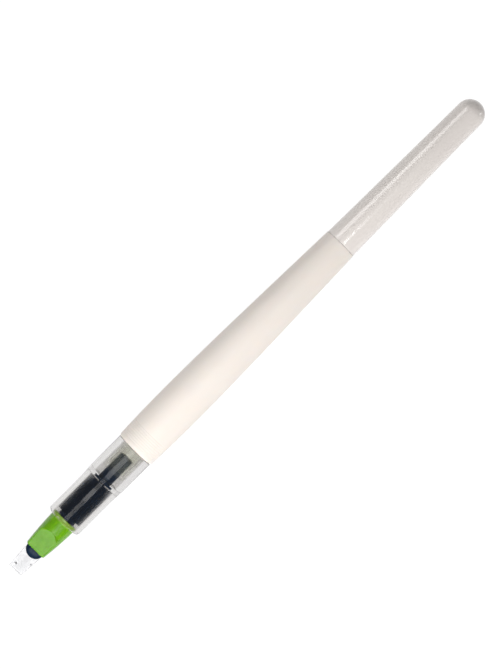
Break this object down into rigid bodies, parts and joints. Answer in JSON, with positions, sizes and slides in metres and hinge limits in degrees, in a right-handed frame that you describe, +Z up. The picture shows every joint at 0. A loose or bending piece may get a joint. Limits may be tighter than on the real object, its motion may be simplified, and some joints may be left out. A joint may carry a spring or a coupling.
{
  "type": "parallel-plate calligraphy pen",
  "caption": "Cartridge calligraphy pen with a broad nib of two parallel steel plates, a clear grip over a finned feed and a barrel that unscrews.",
  "frame": {"origin": "under the middle of the pen's length, on the surface that the widest part of the barrel touches", "axes": "+X along the pen from the writing edge to the tail, +Z up, square to the flat of the nib plates"},
  "size_m": [0.157, 0.011, 0.011],
  "materials": {
    "plate_steel": "fine brushed steel, pale",
    "feed_black": "black moulded plastic, low sheen",
    "collar_green": "translucent green plastic",
    "grip_clear": "clear polished plastic",
    "cartridge_milky": "milky translucent plastic",
    "barrel_ivory": "satin ivory plastic",
    "tail_gloss": "glossy warm grey-white plastic"
  },
  "bodies": {
    "grip": {"grip_section": "grip_clear", "feed_nipple": "feed_black"},
    "nib_unit": {"nib_plate_upper": "plate_steel", "nib_plate_lower": "plate_steel", "nib_holder_upper": "feed_black", "nib_holder_lower": "feed_black", "nib_collar": "collar_green", "feed_comb": "feed_black"},
    "cartridge": {"cartridge_body": "cartridge_milky", "cartridge_mouth": "cartridge_milky"},
    "seal": {"cartridge_seal": "cartridge_milky"},
    "tail": {"tail_cone": "tail_gloss"},
    "barrel": {"barrel_tube": "barrel_ivory"}
  },
  "joints": [
    {"name": "nib_unit_pull", "type": "slide", "parent": "grip", "child": "nib_unit", "axis": [-1, 0, 0], "range_m": [0, 0.022]},
    {"name": "cartridge_pull", "type": "slide", "parent": "grip", "child": "cartridge", "axis": [1, 0, 0], "range_m": [0, 0.009]},
    {"name": "seal_slide", "type": "slide", "parent": "cartridge", "child": "seal", "axis": [1, 0, 0], "range_m": [0, 0.041]},
    {"name": "barrel_travel", "type": "slide", "parent": "grip", "child": "tail", "axis": [1, 0, 0], "range_m": [0, 0.0049]},
    {"name": "barrel_turn", "type": "hinge", "parent": "tail", "child": "barrel", "pos_m": [0, 0, 0.0055], "axis": [1, 0, 0], "range_deg": [0, 1260]}
  ],
  "couplings": [
    {"joint": "barrel_turn", "follows": "barrel_travel", "rad_per_m": 4488}
  ]
}
